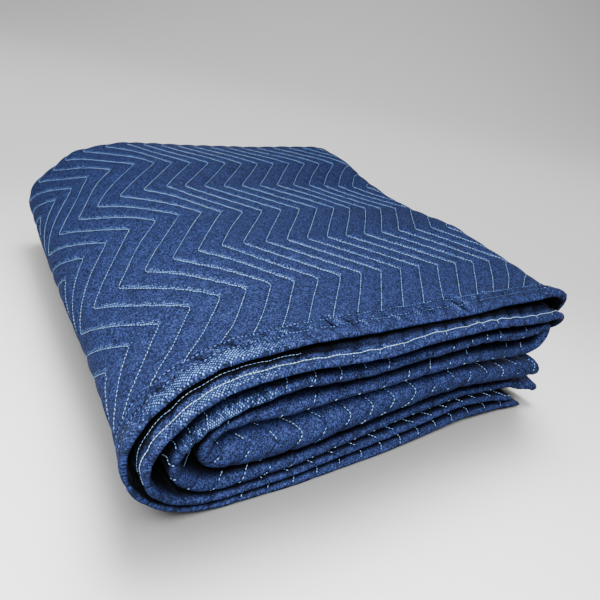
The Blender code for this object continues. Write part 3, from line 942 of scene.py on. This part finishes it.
def wovenCotton():
    # Plain-woven cotton and polyester, piece dyed: dull, with thick and thin yarn showing as fine
    # flecks, and pale ones where the dye is rubbed off the worn edges, which carry a painted
    # highlight as well. Rows of stitches pull in a crease, with painted shade on its near side and
    # a painted highlight on its far side. Painted shade darkens the creases, needle holes and
    # hollows between plies.
    surface = {**weave["surface"], "Sheen Tint": linear(weave["sheenTint"])}
    material, tree, shader = newMaterial("woven cotton and polyester", surface)
    add, eased = partial(addNode, tree), {"interpolation_type": "SMOOTHSTEP"}
    flat, rows = add("UVMap", uv_map="flatCloth"), add("UVMap", uv_map="quiltRows")
    across, along = add("SeparateXYZ", flat).outputs[:2]
    rowAt, fromEdge = add("SeparateXYZ", rows).outputs[:2]
    wornAndLit, creases = (add("Attribute", attribute_name=name).outputs["Fac"]
                     for name in ("wornAndLit", "creased"))

    # how far past its row of stitches a place is, and whether it is on a leg of the chevron that
    # runs across the light
    offRow = add("Math", rowAt, 0.5, -0.5, operation="WRAP")
    offRow = add("Math", offRow, rowGap, operation="MULTIPLY")
    leg = add("Math", along, quilt["firstCorner"] - vEnd, operation="ADD")
    leg = add("Math", leg, quilt["chevronLength"], operation="DIVIDE")
    leg = add("Math", leg, 1.0, 0.0, operation="WRAP")
    leg = add("Math", leg, 0.5, operation="GREATER_THAN")
    # neither side shows near the edges and the front fold, where the cloth is pressed flat
    clear = add("Math", along, vFold, operation="SUBTRACT")
    clear = add("Math", clear, operation="ABSOLUTE")
    clear = add("Math", fromEdge, clear, operation="MINIMUM")
    clear = add("MapRange", clear, *weave["pressedFlat"], **eased)
    leg = add("Math", leg, clear, operation="MULTIPLY")
    # painted highlight along the far side of the rows, on those legs
    beyond = add("Math", offRow, 0.0, operation="GREATER_THAN")
    paintedFringe = add("MapRange", offRow, weave["paintedFringeWidth"], 0.0, **eased)
    paintedFringe = add("Math", paintedFringe, beyond, operation="MULTIPLY")
    paintedFringe = add("Math", paintedFringe, leg, operation="MULTIPLY")
    # painted shade: the pleat on the near side of the rows
    pleat = add("MapRange", offRow, -weave["nearWidth"], 0.0, **eased)
    pleat = add("Math", pleat, beyond, operation="SUBTRACT")
    pleat = add("Math", pleat, 0.0, operation="MAXIMUM")
    pleat = add("Math", pleat, leg, operation="MULTIPLY")

    # the flecks of the yarn, and the pale raised threads: dye rubbed off, and painted highlights
    slubs = add("TexVoronoi", Vector=flat, Scale=1 / weave["slub"], voronoi_dimensions="2D")
    slub = add("SeparateColor", slubs.outputs["Color"]).outputs["Red"]
    ramp = add("ValToRGB", slub)
    stops = ramp.color_ramp.elements
    stops[0].color, stops[1].color = linear(weave["dark"]), linear(weave["light"])
    stops.new(0.5).color = linear(weave["body"])
    bias = add("Mapping", Vector=flat, Rotation=(0.0, 0.0, math.radians(45)))
    floats = add("TexVoronoi", Vector=bias, Scale=1 / weave["float"],
                 Randomness=weave["floatStray"], voronoi_dimensions="2D")
    chance = add("SeparateColor", floats.outputs["Color"]).outputs["Green"]
    # pale specks: wear and a painted highlight on the edges, a painted highlight beside the rows
    # and on the crease ridges
    rubbedAndLit = add("Math", wornAndLit, weave["wornAndLit"], weave["plain"], operation="MULTIPLY_ADD")
    rubbedAndLit = add("Math", paintedFringe, weave["paintedFringe"], rubbedAndLit, operation="MULTIPLY_ADD")
    rubbedAndLit = add("Math", rubbedAndLit, creases, operation="MAXIMUM")
    bareAndLit = add("Math", chance, -weave["paleRange"], rubbedAndLit, operation="MULTIPLY_ADD")
    bareAndLit = add("MapRange", bareAndLit, 0.0, weave["paleFade"], **eased)
    dot = add("MapRange", floats, *weave["floatTop"], **eased)
    speck = add("Math", bareAndLit, dot, operation="MULTIPLY")
    flecked = add("Mix", speck, data_type="RGBA")
    tree.links.new(ramp.outputs["Color"], flecked.inputs[6])
    flecked.inputs[7].default_value = linear(weave["pale"])
    mottle = add("TexNoise", Vector=flat, Scale=1 / weave["mottle"], Detail=2.0, Roughness=0.5)
    by = weave["mottleBy"]
    patches = add("MapRange", mottle, *weave["mottleRange"], 1 - by, 1 + by)

    # creases along the quilting rows, and needle pulls along the hem rows, with painted shade in
    # them and in the troughs of the main creases
    crease = ridge(add, add("Math", offRow, operation="ABSOLUTE"), weave["seamWidth"])
    needle = add("Math", across, 2 * math.pi / thread["pitch"], operation="MULTIPLY")
    needle = add("Math", needle, operation="SINE")
    pits = add("MapRange", needle, *weave["pits"], **eased)
    hole = 0.0
    for row in hemRows["A"]:
        away = add("Math", fromEdge, row, operation="SUBTRACT")
        away = add("Math", away, operation="ABSOLUTE")
        pull = add("Math", ridge(add, away, weave["needleWidth"]), pits, operation="MULTIPLY")
        hole = add("Math", hole, pull, operation="MAXIMUM")
    troughs = add("Math", creases, 0.0, operation="MINIMUM")
    # between the raised threads, most where they are worn and the highlight is painted
    between = add("Math", dot, weave["floatMean"], operation="SUBTRACT")
    contrast, wornAndLitContrast = weave["floatShade"]
    contrast = add("Math", wornAndLit, wornAndLitContrast, contrast, operation="MULTIPLY_ADD")
    darkened = ((crease, shades["crease"]), (hole, shades["needle"]), (troughs, shades["trough"]),
                (between, contrast), (pleat, shades["pleat"]))
    shade = 1.0
    for where, amount in darkened:
        shade = add("Math", where, amount, shade, operation="MULTIPLY_ADD")
    shade = add("Math", shade, shades["least"], operation="MAXIMUM")
    shade = add("Math", shade, patches, operation="MULTIPLY")
    # painted shade in the hollows between the plies, darkest where other cloth is near
    hollow = add("AmbientOcclusion", Distance=weave["reach"], samples=8).outputs["AO"]
    hollow = add("MapRange", hollow, *weave["clear"], **eased)
    shade = add("Math", shade, hollow, operation="MULTIPLY")
    dyed = add("VectorMath", flecked.outputs[2], Scale=shade, operation="SCALE")
    tree.links.new(dyed.outputs[0], shader.inputs["Base Color"])
    pulled = add("Math", crease, hole, operation="MAXIMUM")
    raised = add("Math", slub, weave["bump"], operation="MULTIPLY")
    raised = add("Math", pulled, -weave["seamDepth"], raised, operation="MULTIPLY_ADD")
    bump = add("Bump", Height=raised, Distance=1.0, Strength=weave["bumpStrength"])
    tree.links.new(bump.outputs[0], shader.inputs["Normal"])
    return material


def spunThread(name, colour, dark):
    # spun polyester sewing thread: smooth with a soft shine, worn and dull in places
    material, tree, shader = newMaterial(name, thread["surface"])
    add = partial(addNode, tree)
    places = add("TexCoord").outputs["Object"]
    patches = add("TexNoise", Vector=places, Scale=1 / thread["patch"], Detail=3.0, Roughness=0.7)
    ramp = add("ValToRGB", add("MapRange", patches, *thread["patchRange"]))
    stops = ramp.color_ramp.elements
    stops[0].color, stops[1].color = linear(dark), linear(colour)
    tree.links.new(ramp.outputs["Color"], shader.inputs["Base Color"])
    return material


def paintedFloor():
    # matt emulsion on a smooth floor: no shine
    surface = {"Base Color": linear("#eeeeee"), "Roughness": 0.95, "Specular IOR Level": 0.1}
    return newMaterial("matt floor paint", surface)[0]


camera = {
    "place": (-0.3248, -0.5180, 0.3697),  # metres
    "heading": 36.51,  # degrees from +Y towards +X
    "pitch": -28.53,
    "roll": 11.92,
    "lens": 33.55,  # millimetres, on the usual 36 mm
}


def addCamera():
    data = bpy.data.cameras.new("camera")
    data.lens = camera["lens"]
    holder = placed("camera", data)
    holder.matrix_world = Matrix.Translation(camera["place"])
    turns = ((-camera["heading"], "Z"), (90.0 + camera["pitch"], "X"), (camera["roll"], "Z"))
    for degrees, axis in turns:
        holder.matrix_world @= Matrix.Rotation(math.radians(degrees), 4, axis)
    bpy.context.scene.camera = holder


studio = {
    "floorFront": -4.0,
    "floorReach": 1.8,  # the floor runs this far back, then curves up
    "halfWidth": 12.0,
    "curve": 2.0,
    "curveSteps": 12,
    "wall": 4.0,
    "sky": 0.10,
    "lamps": (
        # name, place, aim, size, spread in degrees, power, and what it lights
        ("key", (-0.52, -0.72, 0.84), (0.0, 0.0, 0.05), 0.40, 180, 24.0, "quilted_cloth"),
        ("overhead", (-0.15, -0.10, 1.30), (0.0, 0.0, 0.0), 1.2, 180, 4.5, "quilted_cloth"),
        ("back", (0.40, 1.20, 0.16), (0.0, 0.20, 0.06), 0.3, 180, 3.5, "quilted_cloth"),
        ("right", (1.20, -0.10, 0.16), (0.2, 0.0, 0.06), 0.3, 180, 3.5, "quilted_cloth"),
        ("ceiling", (0.0, 0.0, 2.20), (0.0, 0.0, 0.0), 4.0, 180, 128.0, "floor"),
        ("beam", (0.05, 0.05, 1.20), (-0.36, -0.52, 0.0), 0.9, 60, 11.0, "floor"),
    ),
}


def addBackdrop():
    # a floor that curves up into a wall, as one sheet
    bm = bmesh.new()
    reach, curve, wide = studio["floorReach"], studio["curve"], studio["halfWidth"]
    profile = [bm.verts.new((-wide, y, 0.0)) for y in (studio["floorFront"], reach)]
    for k in range(1, studio["curveSteps"] + 1):
        angle = math.radians(90 * k / studio["curveSteps"])
        profile.append(bm.verts.new(
            (-wide, reach + curve * math.sin(angle), curve * (1 - math.cos(angle)))))
    profile.append(bm.verts.new((-wide, reach + curve, curve + studio["wall"])))
    edges = [bm.edges.new(pair) for pair in zip(profile, profile[1:])]
    swept = bmesh.ops.extrude_edge_only(bm, edges=edges)["geom"]
    moved = [item for item in swept if isinstance(item, bmesh.types.BMVert)]
    bmesh.ops.translate(bm, verts=moved, vec=(2 * wide, 0.0, 0.0))
    bmesh.ops.recalc_face_normals(bm, faces=bm.faces)
    turn = Matrix.Rotation(-math.radians(camera["heading"]), 3, "Z")
    bmesh.ops.rotate(bm, verts=bm.verts, matrix=turn)
    mesh = finishedMesh(bm, "floor")
    mesh.shade_smooth()
    floor = placed("floor", mesh)
    floor.data.materials.append(paintedFloor())
    floor.visible_diffuse = False  # no light is thrown up into the folds
    return floor


def addLights(receivers):
    world = bpy.data.worlds.new("studio")
    bpy.context.scene.world = world
    world.use_nodes = True
    sky = world.node_tree.nodes["Background"]
    sky.inputs["Color"].default_value = linear("#ffffff")
    sky.inputs["Strength"].default_value = studio["sky"]
    for name, place, aim, size, spread, power, lit in studio["lamps"]:
        data = bpy.data.lights.new(name, "AREA")
        data.size, data.energy, data.spread = size, power, math.radians(spread)
        lamp = placed(name, data)
        lamp.location = place
        lamp.rotation_euler = (Vector(aim) - Vector(place)).to_track_quat("-Z", "Y").to_euler()
        lamp.light_linking.receiver_collection = receivers[lit]


laying = {
    "foldReach": 0.042,  # how far round the front fold they are laid
    "foldAbove": 0.65,  # share of them that shows above the fold's middle, and below it
    "foldBelow": 0.35,
    "underReach": 0.0085,  # how far in under hem B they are laid, from this place on the top
    "underFrom": 0.08,
    "underShowing": 0.60,
    "innerEnds": 0.13,  # the inner row under the hem goes out of sight here
    "outerLonger": 1.35,  # stitches drawn longer, so that the row reads as one line
    "innerLonger": 1.20,
    "topFrom": 0.012,  # from this far under the outer crease
    "topEnds": 0.026,  # to this far from hem A
    "endReach": 0.030,  # on the two free ends
    "endHem": 0.020,
    "slotReach": 0.100,
}


def addThreads():
    place, reach, slot = strip.place, laying["foldReach"], vFold - laying["slotReach"]
    pale = spunThread("pale spun polyester", "#b8dcff", "#74a6f6")
    white = spunThread("white spun polyester", "#ccecff", "#a0ceff")
    navy = spunThread("navy spun polyester", "#6f97ec", "#0c1120")
    whole, outside = (0.0, strip.total), (place("ground", 0.97), place("second", 0.03))
    (outer, inner), innerRun = hemRows["B"], (outside[0], place("top", laying["innerEnds"]))
    above = quiltingRows(*whole, vFold - reach, vFold)
    below = quiltingRows(*whole, vFold, vFold + reach)
    under = quiltingRows(place("top", laying["underFrom"]), outside[1], 0.0, laying["underReach"])
    top = quiltingRows(*outside, vD - laying["topFrom"], vEnd - laying["topEnds"])
    laid = (
        # name, side of the cloth, thread, share of its width, and the stitches' ends
        ("top_quilting", 1, pale, 0.88, top),
        ("fold_quilting", 1, pale, 1.05,
         inBursts(above, laying["foldAbove"], 3), inBursts(below, laying["foldBelow"], 4)),
        ("under_quilting", -1, pale, 1.0, inBursts(under, laying["underShowing"], 5),
         quiltingRows(0.0, outside[0], vEnd - laying["endHem"], vEnd)),
        ("lower_quilting", 1, pale, 1.0, quiltingRows(0.0, outside[0], 0.0, laying["endReach"]),
         quiltingRows(outside[1], strip.total, slot, vFold - reach)),
        ("hem_rows_face", 1, navy, 0.90, *(hemRow(*outside, vEnd - row) for row in hemRows["A"])),
        ("hem_row_reverse", -1, white, 0.95, hemRow(*outside, outer, laying["outerLonger"])),
        ("hem_row_inner", -1, pale, 0.55, hemRow(*innerRun, inner, laying["innerLonger"])),
    )
    return [stitches(name, np.concatenate(ends), side, material, width)
            for name, side, material, width, *ends in laid]


addCamera()
floor = addBackdrop()
report("camera and floor are in place")
cloth = quiltedCloth()
cloth.data.materials.append(wovenCotton())
clothMesh = BVHTree.FromObject(cloth, bpy.context.evaluated_depsgraph_get())
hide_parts("quilted_blanket")
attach(cloth, "root")
threads = addThreads()
receivers = {name: bpy.data.collections.new(name) for name in ("quilted_cloth", "floor")}
for piece in (cloth, *threads):
    receivers["quilted_cloth"].objects.link(piece)
receivers["floor"].objects.link(floor)
addLights(receivers)
report("lamps are in place")
